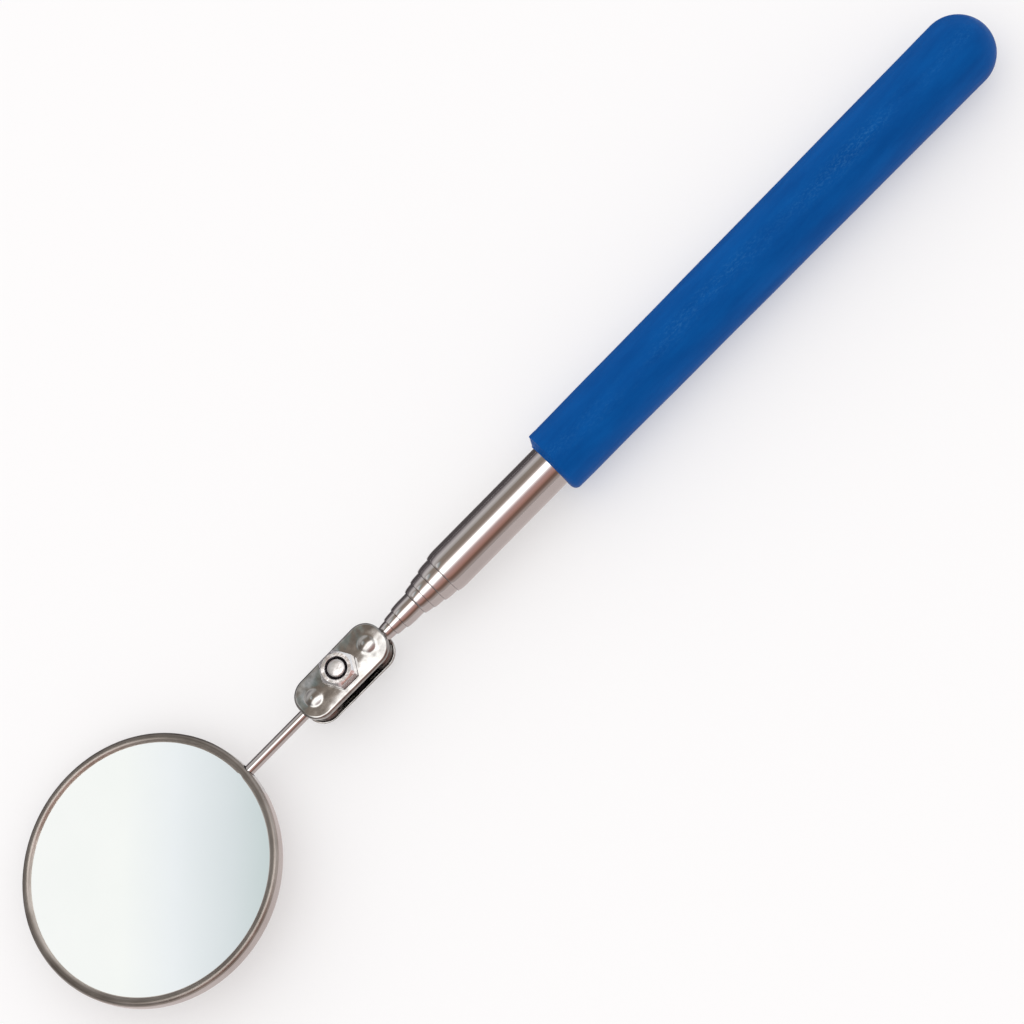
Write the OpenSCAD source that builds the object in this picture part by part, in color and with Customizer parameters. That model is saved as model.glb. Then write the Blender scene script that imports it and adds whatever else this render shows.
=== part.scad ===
// Telescoping inspection mirror.
// The tool axis is X: the butt is at +X and the mirror at -X. The swivel plates face +Z.
// The origin is on the axis, in the middle of the outer tube's bare stretch.
// Everything is drawn with the telescope pushed in. All sizes are in millimetres.

/* [Grip] */
// Diameter of the grip at its front edge
grip_front_d = 14.7; // [13.5:0.1:15.5]
// Diameter of the grip where its domed butt begins
grip_butt_d = 16; // [15.6:0.1:18]
// Length of the grip
grip_length = 126.4; // [115:0.2:150]
// Radius of the rounded front edge
grip_edge_r = 1.3; // [0.4:0.1:1.6]

/* [Telescope] */
// Outer diameter of the outer tube
tube_d = 9.9; // [9.8:0.05:10]
// Bare stretch of the outer tube in front of the grip
bare_length = 31.4; // [24:0.2:40]
// Slide travel of the first section
first_travel = 102; // [60:1:102]
// Wall of every tube
tube_wall = 0.3; // [0.25:0.01:0.3]
// Length of a section's rounded, crimped mouth
mouth_length = 0.9; // [0.6:0.1:1.2]
// Length of the friction bush at a section's rear end
bush_length = 7; // [4:0.5:8]

/* [Swivel] */
// Diameter of the two pivot balls
ball_d = 6; // [5.8:0.1:6]
// Distance between the two ball centres
ball_spacing = 15.3; // [14.8:0.1:16]
// Length of the two swivel plates
plate_length = 23.2; // [22.8:0.1:24]
// Width of the two swivel plates
plate_width = 9.7; // [9:0.1:10.2]
// Distance over the outer faces of the two plates
plates_over = 6.6; // [6.5:0.05:6.8]
// Sheet thickness of the plates
plate_wall = 0.8; // [0.7:0.05:0.9]
// Gap between the turned rims of the two plates
rim_gap = 3.9; // [3.85:0.05:4.1]
// Thread diameter of the clamp screw
screw_d = 4; // [3.5:0.5:4]
// Width of the clamp nut across its flats
nut_flats = 7; // [6.8:0.1:7.2]
// Height of the clamp nut
nut_height = 3.2; // [2.2:0.1:3.2]

/* [Mirror] */
// Outer diameter of the mirror case
mirror_d = 57; // [50:0.5:60]
// Thickness of the mirror case
case_height = 3.9; // [3.9:0.1:5]
// Width of the rolled lip around the glass
lip_width = 2; // [1.6:0.1:2.4]
// Sheet thickness of the case
case_wall = 0.5; // [0.4:0.05:0.5]
// Thickness of the mirror glass
glass_height = 1.4; // [1.2:0.05:1.4]
// Diameter of the mirror rod
rod_d = 2.4; // [2:0.1:2.4]
// Distance from the mirror ball to the middle of the mirror
mirror_reach = 48.6; // [46:0.2:60]
// Turn of the mirror about its rod, away from the plates' plane
mirror_roll = 7; // [0:1:15]

/* [Hidden] */

$fn = 96;
running = 0.03;       // radial clearance of a part that slides or turns
seat = 0.02;          // radial clearance of a part fixed in another
step_a = 15;          // angle step of the arcs in turned profiles

// Telescope: entry 0 is the outer tube, entries 1 to 6 are sections 2 to 7
section_drop = [0, 1.1, 2.2, 3.1, 4.4, 5.3, 6.2];  // how much thinner than the outer tube
section_reach = [0, 3.2, 5.8, 8, 12.6, 15];        // how far each mouth stands out
tip_ball_lead = 5.8;                               // from the sixth mouth to the tip ball
tip_mouth_gap = 3.1;                               // from the tip ball's centre to the seventh mouth
lip_gap = 0.3;                                     // what the bush keeps from the mouth at full travel
mouth_ring = 0.1;                                  // flat ring left at the front of a mouth
plug_length = 9;
bead_height = 0.2;                                 // bead on the outer tube, which keeps the grip on
bead_width = 1.4;
plug_gap = 0.3;
slit_w = 0.8;                                      // slit in a friction bush
grip_x = bare_length / 2;
butt_x = grip_x + grip_length;
tip_ball_x = -grip_x - section_reach[5] - tip_ball_lead;
mouth_x = [for (i = [0:6]) i < 6 ? -grip_x - section_reach[i] : tip_ball_x + tip_mouth_gap];
bush_x = mouth_x[0] + mouth_length + first_travel + lip_gap;  // front of every bush
rear_x = bush_x + bush_length;                                // rear end of every section
tube_end_x = rear_x + plug_gap + plug_length;

// Swivel
mid_x = tip_ball_x - ball_spacing / 2;
mirror_ball_x = tip_ball_x - ball_spacing;
plate_z = plates_over / 2;                // outer face of the front plate
floor_z = plate_z - plate_wall;           // inner face of the front plate
plate_corner_r = 4.2;
plate_edge = 0.4;                         // chamfer around a plate's outer face
rim_wall = 0.8;
screw_head_d = 7.6;
screw_head_height = 2.4;
slot_w = 1.1;
slot_depth = 1.2;
screw_proud = 0.3;                        // how far the screw stands out of the nut
screw_hole_gap = 0.4;                     // how much wider a plate's hole is than the screw
nut_chamfer = 0.4;                        // height of the chamfer on the nut's corners
nut_chamfer_w = 0.65;                     // width of that chamfer
nut_face_inset = 0.1;                     // how far the nut's round face keeps inside its flats
sink_depth = 0.6;                         // countersink at the top of the nut's thread
sink_w = 0.45;                            // how far the countersink opens past the thread
stem_pin_d = 2.2;                         // pin of the tip stem, inside the tip ball
stem_neck_extra = 0.2;                    // how much thicker the stem is in the tip mouth
stem_neck_gap = 0.2;                      // bare neck between the tip mouth and its ball
stem_depth = 8;
ball_bore_depth = 4.2;

// Mirror
mirror_x = mirror_ball_x - mirror_reach;
lip_r = lip_width / 2;
glass_set_back = 0.75;                    // from the top of the lip to the glass
glass_play = 0.8;
glass_z = case_height / 2 - glass_set_back;
glass_d = mirror_d - 2 * case_wall - glass_play;
glass_bevel = 0.3;
rod_hole_d = 3;
rod_in_case = 0.25;                       // how far the round rod reaches in past the case wall
rod_in_ball = 0.8;                        // how far it reaches past the mirror ball's centre
tongue_length = 14;
tongue_w = 3.2;
tongue_height = 0.9;
neck_length = 1;                          // where the rod narrows into its tongue
neck_inset = 0.3;
pad_d = glass_d - 0.8;
pad_slot_gap = 0.3;

function bore_d(i) = tube_d - section_drop[i] - 2 * tube_wall;
function outer_d(i) = tube_d - section_drop[i];

// Points of an arc about [r, x], from angle a to angle b, in steps of step_a
function arc(r, x, rad_r, rad_x, a, b) =
    [for (t = [0:abs(b - a) / step_a])
        let (g = a + t * step_a * sign(b - a)) [r + rad_r * cos(g), x + rad_x * sin(g)]];

// A solid turned about the X axis from [radius, x] points
module turned(points) {
    rotate([0, 90, 0]) rotate_extrude() polygon(points);
}

// A bar along X, from x0 to x1
module bar(d, x0, x1) {
    translate([x0, 0, 0]) rotate([0, 90, 0]) cylinder(d = d, h = x1 - x0);
}

// One tube of the telescope, with its front end rolled in to hole_d
module tube(i, hole_d, x1, bead = []) {
    outer = outer_d(i) / 2;
    hole = hole_d / 2;
    ring = hole + mouth_ring;
    x0 = mouth_x[i];
    turned(concat(
        [[hole, x0]],
        arc(ring, x0 + mouth_length, outer - ring, mouth_length, -90, 0),
        bead,
        [[outer, x1], [bore_d(i) / 2, x1], [bore_d(i) / 2, x0 + mouth_length],
            [hole, x0 + mouth_length]]));
}

module section(i) {
    color("gainsboro") tube(i, outer_d(i + 1) + 4 * running, rear_x);
}

// Split ring fixed on the rear of a section, which rubs in the bore of the tube around it
module bush(i) {
    color("darkgoldenrod") difference() {
        bar(bore_d(i - 1) - 2 * running, bush_x, rear_x);
        bar(outer_d(i) + 2 * seat, bush_x - 1, rear_x + 1);
        translate([bush_x - 1, -slit_w / 2, 0]) cube([bush_length + 2, slit_w, tube_d]);
    }
}

// Outline of the ring bead just behind the grip's front edge, on a radius r
function bead(r) = [
    [r, grip_x], [r + bead_height, grip_x + bead_height],
    [r + bead_height, grip_x + bead_width - bead_height], [r, grip_x + bead_width]];

module grip() {
    front = grip_front_d / 2;
    butt = grip_butt_d / 2;
    bore = tube_d / 2 + seat;
    groove = bead(bore);
    color("royalblue") turned(concat(
        [for (i = [3:-1:0]) groove[i]],
        arc(front - grip_edge_r, grip_x + grip_edge_r, grip_edge_r, grip_edge_r, -90, 0),
        arc(0, butt_x - butt, butt, butt, 0, 90),
        [[0, tube_end_x + seat], [bore, tube_end_x + seat]]));
}

module outer_tube() {
    color("gainsboro") tube(0, outer_d(1) + 4 * running, tube_end_x, bead(tube_d / 2));
}

module rear_plug() {
    color("darkgoldenrod") bar(bore_d(0) - 2 * seat, rear_x + plug_gap, tube_end_x);
}

module tip_section() {
    color("gainsboro") tube(6, stem_pin_d + stem_neck_extra + 2 * seat, rear_x);
}

// Turned stem held in the mouth of the tip section, with a pin for the ball
module tip_stem() {
    neck_x = mouth_x[6] - stem_neck_gap;
    body_x = mouth_x[6] + mouth_length + seat;
    color("silver") union() {
        bar(bore_d(6) - 2 * seat, body_x, body_x + stem_depth);
        bar(stem_pin_d + stem_neck_extra, neck_x, body_x + 1);
        bar(stem_pin_d, tip_ball_x - 1, neck_x + 1);
    }
}

// A ball with a blind bore from its side at +X (dir 1) or -X (dir -1)
module pivot_ball(x, bore, dir) {
    translate([x, 0, 0]) mirror([dir < 0 ? 1 : 0, 0, 0]) difference() {
        sphere(d = ball_d);
        bar(bore, ball_d / 2 - ball_bore_depth, ball_d);
    }
}

module tip_ball() {
    color("lightgray") pivot_ball(tip_ball_x, stem_pin_d + 2 * running, 1);
}

module mirror_ball() {
    color("lightgray") pivot_ball(mirror_ball_x, rod_d + 2 * running, -1);
}

// Outline of a plate, taken in by inset all round
module plate_outline(inset) {
    r = plate_corner_r - inset;
    w = plate_width - 2 * inset;
    l = plate_length - 2 * inset;
    square([l - 2 * r, w], center = true);
    square([l, w - 2 * r], center = true);
    for (i = [-1, 1], j = [-1, 1]) translate([i * (l / 2 - r), j * (w / 2 - r)]) circle(r);
}

// A pressed plate: turned rim all round, and a dome over each ball
module swivel_plate() {
    edge_z = plate_z - plate_edge;
    difference() {
        union() {
            translate([mid_x, 0, rim_gap / 2])
                linear_extrude(edge_z - rim_gap / 2) plate_outline(0);
            translate([mid_x, 0, edge_z]) linear_extrude(plate_edge) plate_outline(plate_edge);
            for (x = [tip_ball_x, mirror_ball_x]) translate([x, 0, 0]) intersection() {
                sphere(d = ball_d + 2 * running + 2 * plate_wall);
                translate([0, 0, floor_z]) cylinder(d = ball_d, h = ball_d);
            }
        }
        translate([mid_x, 0, 0]) linear_extrude(floor_z) plate_outline(rim_wall);
        for (x = [tip_ball_x, mirror_ball_x]) translate([x, 0, 0]) sphere(d = ball_d + 2 * running);
        translate([mid_x, 0, 0]) cylinder(d = screw_d + screw_hole_gap, h = ball_d);
    }
}

module front_plate() {
    color("silver") swivel_plate();
}

module back_plate() {
    color("silver") mirror([0, 0, 1]) swivel_plate();
}

// Pan-headed screw with a slot, pushed up through both plates from behind
module clamp_screw() {
    end_z = plate_z + nut_height + screw_proud;
    head = screw_head_d / 2;
    color("lightgray") translate([mid_x, 0, 0]) difference() {
        rotate_extrude() polygon(concat(
            [[0, -plate_z - screw_head_height]],
            arc(head - 1, 1 - plate_z - screw_head_height, 1, 1, -90, 0),
            [[head, -plate_z], [screw_d / 2, -plate_z]],
            arc(0, end_z - 1, screw_d / 2, 1, 0, 90)));
        translate([-head, -slot_w / 2, -plate_z - screw_head_height - 1])
            cube([2 * head, slot_w, slot_depth + 1]);
    }
}

// Hexagon nut with two flats along the tool and its upper corners chamfered
module clamp_nut() {
    top = plate_z + nut_height;
    face_r = nut_flats / 2 - nut_face_inset;
    wide_r = face_r + 2 * nut_chamfer_w;
    color("silver") translate([mid_x, 0, 0]) difference() {
        intersection() {
            translate([0, 0, plate_z])
                cylinder(d = nut_flats / cos(30), h = nut_height, $fn = 6);
            rotate_extrude() polygon([[0, plate_z], [wide_r, plate_z],
                [wide_r, top - 2 * nut_chamfer], [face_r, top], [0, top]]);
        }
        translate([0, 0, plate_z - 1]) cylinder(d = screw_d + 2 * running, h = nut_height + 2);
        translate([0, 0, top - sink_depth])
            cylinder(d1 = screw_d, d2 = screw_d + 4 * sink_w, h = 2 * sink_depth);
    }
}

// Place a part of the mirror, drawn about the Z axis
module on_mirror() {
    translate([mirror_x, 0, 0]) rotate([-mirror_roll, 0, 0]) children();
}

// Spun cup with a flat back, whose rim is rolled over the glass
module mirror_case() {
    r = mirror_d / 2;
    h = case_height / 2;
    color("silver") on_mirror() difference() {
        rotate_extrude() polygon(concat(
            [[0, -h]],
            arc(r - lip_r, lip_r - h, lip_r, lip_r, -90, 0),
            arc(r - lip_r, h - lip_r, lip_r, lip_r, 0, 165),
            [[r - lip_width, glass_z], [r - case_wall, glass_z],
                [r - case_wall, case_wall - h], [0, case_wall - h]]));
        bar(rod_hole_d, r - 2, r + 2);
    }
}

module mirror_glass() {
    r = glass_d / 2;
    color("azure") on_mirror() rotate_extrude() polygon([
        [0, glass_z - glass_height], [r, glass_z - glass_height], [r, glass_z - glass_bevel - seat],
        [r - glass_bevel, glass_z - seat], [0, glass_z - seat]]);
}

// Card pad behind the glass, cut away for the rod's tongue
module backing_pad() {
    low = case_wall - case_height / 2 + seat;
    color("dimgray") on_mirror() difference() {
        translate([0, 0, low]) cylinder(d = pad_d, h = glass_z - glass_height - seat - low);
        translate([pad_d / 2 - tongue_length - pad_slot_gap, -tongue_w / 2 - pad_slot_gap, low - 1])
            cube([mirror_d, tongue_w + 2 * pad_slot_gap, case_height]);
    }
}

// Rod from the mirror ball through the case wall, flattened to a tongue on the case's back
module mirror_rod() {
    wall_x = mirror_d / 2 - case_wall - rod_in_case;
    tongue_z = case_wall - case_height / 2 + seat;
    color("gainsboro") on_mirror() union() {
        bar(rod_d, wall_x, mirror_reach + rod_in_ball);
        translate([wall_x - tongue_length, -tongue_w / 2, tongue_z])
            cube([tongue_length, tongue_w, tongue_height]);
        translate([wall_x - neck_length / 2, neck_inset - rod_d / 2, tongue_z])
            cube([neck_length, rod_d - 2 * neck_inset, tongue_height]);
    }
}

grip();
outer_tube();
rear_plug();
section(1);  // section_2
section(2);  // section_3
section(3);  // section_4
section(4);  // section_5
section(5);  // section_6
tip_section();  // section_7
bush(1);  // bush_2
bush(2);  // bush_3
bush(3);  // bush_4
bush(4);  // bush_5
bush(5);  // bush_6
bush(6);  // bush_7
tip_stem();
tip_ball();
front_plate();
back_plate();
clamp_screw();
clamp_nut();
mirror_ball();
mirror_rod();
mirror_case();
mirror_glass();
backing_pad();
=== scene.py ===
"""Telescoping inspection mirror: detailed pieces, materials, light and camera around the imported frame."""

import math

import bmesh
import bpy
from mathutils import Matrix, Vector, noise


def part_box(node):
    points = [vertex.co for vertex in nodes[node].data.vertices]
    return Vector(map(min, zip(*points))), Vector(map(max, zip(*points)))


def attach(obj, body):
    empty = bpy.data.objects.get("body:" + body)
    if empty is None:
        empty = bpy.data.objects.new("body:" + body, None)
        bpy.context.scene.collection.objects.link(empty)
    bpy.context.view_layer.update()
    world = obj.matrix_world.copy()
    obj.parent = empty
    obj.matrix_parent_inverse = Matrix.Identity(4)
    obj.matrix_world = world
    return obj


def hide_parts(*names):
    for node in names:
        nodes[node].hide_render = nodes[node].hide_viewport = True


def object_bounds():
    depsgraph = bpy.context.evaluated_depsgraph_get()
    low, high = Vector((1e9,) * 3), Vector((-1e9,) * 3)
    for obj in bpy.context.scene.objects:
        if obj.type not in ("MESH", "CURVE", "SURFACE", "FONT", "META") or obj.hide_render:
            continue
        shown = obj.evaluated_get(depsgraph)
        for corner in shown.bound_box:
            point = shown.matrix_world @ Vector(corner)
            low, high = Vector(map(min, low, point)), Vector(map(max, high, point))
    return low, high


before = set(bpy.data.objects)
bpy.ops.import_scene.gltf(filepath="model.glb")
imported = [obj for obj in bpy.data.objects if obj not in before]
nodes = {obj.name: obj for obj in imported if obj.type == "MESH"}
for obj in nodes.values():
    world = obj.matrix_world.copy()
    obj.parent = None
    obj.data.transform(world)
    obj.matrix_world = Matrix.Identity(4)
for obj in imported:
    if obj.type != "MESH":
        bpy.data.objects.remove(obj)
cad_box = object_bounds()
MM = 0.001

# ---------------------------------------------------------------- sizes, in millimetres, from the frame


def span(name, axis=0):
    """(lowest, highest) of a CAD node along an axis, in millimetres."""
    low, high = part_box(name)
    return low[axis] / MM, high[axis] / MM


# Grip
GRIP_X0, GRIP_X1 = span("grip")
FRONT_R = 7.35    # of the grip's front edge
BUTT_R = 8.0      # of its domed butt
GRIP_EDGE = 1.4   # radius of the rounded front edge

# Telescope: entry 0 is the outer tube, the others are the sections
SECTIONS = [f"section_{i}" for i in range(2, 8)]
TUBES = ["outer_tube"] + SECTIONS
TUBE_BODIES = ["handle"] + SECTIONS
MOUTH_X = [span(tube)[0] for tube in TUBES]
REAR_X = [span(tube)[1] for tube in TUBES]
TUBE_R = [4.95, 4.4, 3.85, 3.4, 2.75, 2.3, 1.85]
WALL = 0.3
MOUTH_LENGTH = 0.9
NOSE = 2.5         # length of the mouth's soft outer taper
NOSE_POWER = 1.85  # 1 is a cone, 2 an ellipse
MOUTH_GAP = 0.10   # between a mouth and the tube that stands in it
MOUTH_RING = 0.08  # width of the flat ring at the front of a mouth
MOUTH_SHADE = 0.07  # how far back from its front a mouth gets painted shade
STEM_R = 1.2
STEM_SQUEEZE = 0.04  # how much closer the last mouth grips the stem

# Swivel
BALL_R = 3.0
TIP_X = span("tip_ball")[0] + BALL_R
MIRROR_BALL_X = span("mirror_ball")[1] - BALL_R
MID_X = (TIP_X + MIRROR_BALL_X) / 2
PLATE_HALF_L = (span("front_plate")[1] - span("front_plate")[0]) / 2
PLATE_HALF_W = span("front_plate", 1)[1]
PLATE_CORNER_R = 4.2
PLATE_Z = 3.3     # outer face of a plate
RIM_Z = span("front_plate", 2)[0]
SHEET = 0.8
NUT_TOP = span("clamp_nut", 2)[1]
NUT_FLATS = 7.0
SCREW_BOTTOM, SCREW_TOP = span("clamp_screw", 2)

# Mirror
CASE_R = 28.5
CASE_HALF_H = 1.95
CASE_WALL = 0.5
LIP_R = 1.0
LIP_WIDTH = 2.0
GLASS_Z = 1.2     # seat of the lip on the glass
GLASS_R = 27.6
GLASS_H = 1.4
ROD_R = 1.2
MIRROR_X = span("mirror_case")[0] + CASE_R
MIRROR_ROLL = math.radians(-7)
ON_MIRROR = Matrix.Translation((MIRROR_X, 0, 0)) @ Matrix.Rotation(MIRROR_ROLL, 4, "X")
FLOOR_Z = cad_box[0][2] / MM

# ---------------------------------------------------------------- mesh helpers


def finish_mesh(name, bm, smooth_deg=32, place=None):
    """A linked object from a bmesh drawn in millimetres, smooth-shaded up to an angle."""
    bmesh.ops.remove_doubles(bm, verts=bm.verts, dist=1e-5)
    bmesh.ops.recalc_face_normals(bm, faces=bm.faces)
    if place is not None:
        bm.transform(place)
    bm.transform(Matrix.Scale(MM, 4))
    mesh = bpy.data.meshes.new(name)
    bm.to_mesh(mesh)
    bm.free()
    shade(mesh, smooth_deg)
    obj = bpy.data.objects.new(name, mesh)
    bpy.context.scene.collection.objects.link(obj)
    return obj


def shade(mesh, smooth_deg):
    """Smooth shading, with edges sharper than smooth_deg kept sharp."""
    mesh.shade_smooth()
    mesh.set_sharp_from_angle(angle=math.radians(smooth_deg))


def join_rings(bm, a, b, material_index=0):
    """Faces between two closed rings of as many vertices, or between a ring and a single vertex."""
    count = max(len(a), len(b))
    for k in range(count if count > 1 else 0):
        j = (k + 1) % count
        if len(a) == 1:
            corners = (a[0], b[j], b[k])
        elif len(b) == 1:
            corners = (a[k], a[j], b[0])
        else:
            corners = (a[k], a[j], b[j], b[k])
        bm.faces.new(corners).material_index = material_index


def lathe_into(bm, profile, axis="X", count=160, wobble=None):
    """Turns a closed (radius, position) profile about X or Z into bm. wobble(angle, r, u) gives (dr, du)."""
    rings = []
    for r, u in profile:
        ring = []
        for k in range(1 if r < 1e-6 else count):
            a = 2 * math.pi * k / count
            dr, du = wobble(a, r, u) if wobble and r > 1e-6 else (0, 0)
            side, top, pos = (r + dr) * math.cos(a), (r + dr) * math.sin(a), u + du
            ring.append(bm.verts.new((pos, side, top) if axis == "X" else (side, top, pos)))
        rings.append(ring)
    for a, b in zip(rings, rings[1:] + rings[:1]):
        join_rings(bm, a, b)


def lathe(name, profile, axis="X", count=160, wobble=None, smooth_deg=32, place=None):
    """A turned piece."""
    bm = bmesh.new()
    lathe_into(bm, profile, axis, count, wobble)
    return finish_mesh(name, bm, smooth_deg, place)


def arc(r, u, rr, ru, a0, a1, n):
    """Points of an elliptical arc about (r, u), from angle a0 to a1 in degrees."""
    angles = [math.radians(a0 + (a1 - a0) * k / n) for k in range(n + 1)]
    return [(r + rr * math.cos(a), u + ru * math.sin(a)) for a in angles]


def line(p, q, n):
    """n points from p towards q, without q."""
    return [(p[0] + (q[0] - p[0]) * k / n, p[1] + (q[1] - p[1]) * k / n) for k in range(n)]


def subtract(obj, tool, smooth_deg=32):
    """Cuts the tool out of obj and removes the tool."""
    mod = obj.modifiers.new("cut", "BOOLEAN")
    mod.operation = "DIFFERENCE"
    mod.solver = "EXACT"
    mod.object = tool
    mesh = bpy.data.meshes.new_from_object(obj.evaluated_get(bpy.context.evaluated_depsgraph_get()))
    obj.modifiers.clear()
    old = obj.data
    obj.data = mesh
    bpy.data.meshes.remove(old)
    shade(mesh, smooth_deg)
    bpy.data.objects.remove(tool)


def drill(obj, radius, z0, z1, place):
    """Cuts a round hole along the local Z axis of place, from z0 to z1."""
    subtract(obj, lathe("cutter", [(0, z0), (radius, z0), (radius, z1), (0, z1)], "Z", 48, place=place))


def box_into(bm, centre, size):
    """A rectangular block in bm."""
    verts = bmesh.ops.create_cube(bm, size=1)["verts"]
    place = Matrix.Translation(centre) @ Matrix.Diagonal((*size, 1))
    bmesh.ops.transform(bm, matrix=place, verts=verts)


def dress(obj, mats, body, replaced):
    """Gives a piece its materials and its body, and hides the CAD node that it stands for."""
    obj.data.materials.clear()
    for mat in mats:
        obj.data.materials.append(mat)
    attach(obj, body)
    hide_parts(replaced)


# ---------------------------------------------------------------- material helpers


def srgb(*values):
    """Linear colour from 0-255 screen values."""
    scaled = [v / 255 for v in values]
    return tuple(v / 12.92 if v <= 0.04045 else ((v + 0.055) / 1.055) ** 2.4 for v in scaled)


def new_material(name, metallic=0.0):
    """A material, its node tree and its shader."""
    mat = bpy.data.materials.new(name)
    mat.use_nodes = True
    shader = mat.node_tree.nodes["Principled BSDF"]
    shader.inputs["Metallic"].default_value = metallic
    return mat, mat.node_tree, shader


def coords(nt, scale=(1, 1, 1)):
    """Object coordinates, in metres, stretched by scale."""
    tc = nt.nodes.new("ShaderNodeTexCoord")
    mapping = nt.nodes.new("ShaderNodeMapping")
    mapping.inputs["Scale"].default_value = scale
    nt.links.new(tc.outputs["Object"], mapping.inputs["Vector"])
    return mapping.outputs["Vector"]


def noise_tex(nt, vec, scale, detail=3.0, rough=0.5):
    """Noise between 0 and 1."""
    tex = nt.nodes.new("ShaderNodeTexNoise")
    tex.inputs["Scale"].default_value = scale
    tex.inputs["Detail"].default_value = detail
    tex.inputs["Roughness"].default_value = rough
    nt.links.new(vec, tex.inputs["Vector"])
    return tex.outputs["Fac"]


def ramp(nt, fac, stops):
    """A colour ramp. Each stop is (position, value or colour)."""
    node = nt.nodes.new("ShaderNodeValToRGB")
    elements = node.color_ramp.elements
    elements.remove(elements[-1])
    for k, (pos, col) in enumerate(stops):
        element = elements[0] if k == 0 else elements.new(pos)
        element.position = pos
        element.color = (*((col,) * 3 if isinstance(col, (int, float)) else col), 1)
    nt.links.new(fac, node.inputs["Fac"])
    return node.outputs["Color"]


def math_node(nt, operation, *values):
    """A Math node whose inputs are sockets or numbers."""
    node = nt.nodes.new("ShaderNodeMath")
    node.operation = operation
    for k, value in enumerate(values):
        if isinstance(value, (int, float)):
            node.inputs[k].default_value = value
        else:
            nt.links.new(value, node.inputs[k])
    return node.outputs[0]


def mix(nt, factor, a, b, blend="MIX"):
    """A colour mix whose inputs are sockets, numbers or colours."""
    node = nt.nodes.new("ShaderNodeMix")
    node.data_type = "RGBA"
    node.blend_type = blend
    for name, value in (("Factor", factor), ("A", a), ("B", b)):
        if isinstance(value, (float, tuple)):
            node.inputs[name].default_value = value
        else:
            nt.links.new(value, node.inputs[name])
    return node.outputs["Result"]


def length_of(nt, vec):
    """Length of a vector socket."""
    node = nt.nodes.new("ShaderNodeVectorMath")
    node.operation = "LENGTH"
    nt.links.new(vec, node.inputs[0])
    return node.outputs["Value"]


def split_xyz(nt, vec):
    """X, Y and Z of a vector socket."""
    node = nt.nodes.new("ShaderNodeSeparateXYZ")
    nt.links.new(vec, node.inputs[0])
    return node.outputs


def between(nt, value, low, high):
    """0 where the value is low, 1 where it is high."""
    return math_node(nt, "MULTIPLY_ADD", value, 1 / (high - low), -low / (high - low))


def bump(nt, height, strength, distance, below=None):
    """A bump normal, over another one where below is given."""
    node = nt.nodes.new("ShaderNodeBump")
    node.inputs["Strength"].default_value = strength
    node.inputs["Distance"].default_value = distance
    nt.links.new(height, node.inputs["Height"])
    if below is not None:
        nt.links.new(below, node.inputs["Normal"])
    return node.outputs["Normal"]


# ---------------------------------------------------------------- materials


def metal(name, base, rough, streak=None, streak_strength=0.1, wave=0.0, wave_scale=300, tint=0.08,
          tint_scale=140, grain=0.0):
    """Plated metal. streak stretches fine drawing lines along an axis; wave gives a softly uneven sheet."""
    mat, nt, shader = new_material(name, 1.0)
    vec = coords(nt)
    smudge = noise_tex(nt, vec, tint_scale, 4, 0.6)
    dull = tuple(c * (1 - tint) for c in base)
    nt.links.new(ramp(nt, smudge, [(0.3, dull), (0.7, base)]), shader.inputs["Base Color"])
    fine = noise_tex(nt, coords(nt, streak) if streak else vec, 1200, 2, 0.6)
    worn = ramp(nt, math_node(nt, "MULTIPLY", fine, smudge), [(0.1, rough * 0.7), (0.5, rough * 1.5)])
    nt.links.new(worn, shader.inputs["Roughness"])
    normal = None
    if wave:
        normal = bump(nt, noise_tex(nt, vec, wave_scale, 2, 0.5), wave, 0.001)
    if streak:
        normal = bump(nt, fine, streak_strength, 0.00002, normal)
    if grain:
        normal = bump(nt, noise_tex(nt, vec, 6000, 2, 0.5), grain, 0.00002, normal)
    nt.links.new(normal, shader.inputs["Normal"])
    return mat


def vinyl_material():
    """Dipped blue vinyl, mottled, with a painted highlight: a band of fine pale glints along the top, where
    the softbox's sheen falls.
    """
    glint_y, glint_half = -0.001, 0.003
    mat, nt, shader = new_material("grip_vinyl")
    vec = coords(nt)
    long_vec = coords(nt, (0.25, 1, 1))
    mottle = noise_tex(nt, long_vec, 260, 5, 0.62)
    skin = ramp(nt, mottle, [(0.35, srgb(1, 72, 142)), (0.68, srgb(3, 82, 155))])
    # Painted highlight: pale blue specks mixed into the colour in a band near Y = 0, standing in for the
    # softbox's glints on the grainy vinyl.
    across = between(nt, split_xyz(nt, vec)["Y"], glint_y - glint_half, glint_y + glint_half)
    glint_stripe = ramp(nt, across, [(0.0, 0), (0.35, 0.8), (0.5, 1), (0.65, 0.8), (1.0, 0)])
    glint_patch = ramp(nt, noise_tex(nt, coords(nt, (0.35, 1, 1)), 90, 3, 0.6), [(0.40, 0), (0.66, 1)])
    specks = ramp(nt, noise_tex(nt, coords(nt, (0.5, 1, 1)), 2200, 4, 0.75), [(0.48, 0), (0.72, 0.34)])
    painted_glints = math_node(nt, "MULTIPLY", math_node(nt, "MULTIPLY", glint_stripe, glint_patch), specks)
    nt.links.new(mix(nt, painted_glints, skin, (*srgb(70, 136, 188), 1)), shader.inputs["Base Color"])
    scuff = noise_tex(nt, coords(nt, (0.12, 1, 1)), 900, 4, 0.7)
    nt.links.new(ramp(nt, scuff, [(0.4, 0.40), (0.75, 0.56)]), shader.inputs["Roughness"])
    normal = bump(nt, noise_tex(nt, vec, 2600, 3, 0.55), 0.25, 0.00006)
    normal = bump(nt, noise_tex(nt, long_vec, 420, 3, 0.5), 0.18, 0.0004, normal)
    nt.links.new(normal, shader.inputs["Normal"])
    shader.inputs["IOR"].default_value = 1.46
    shader.inputs["Specular IOR Level"].default_value = 0.05
    return mat


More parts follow.
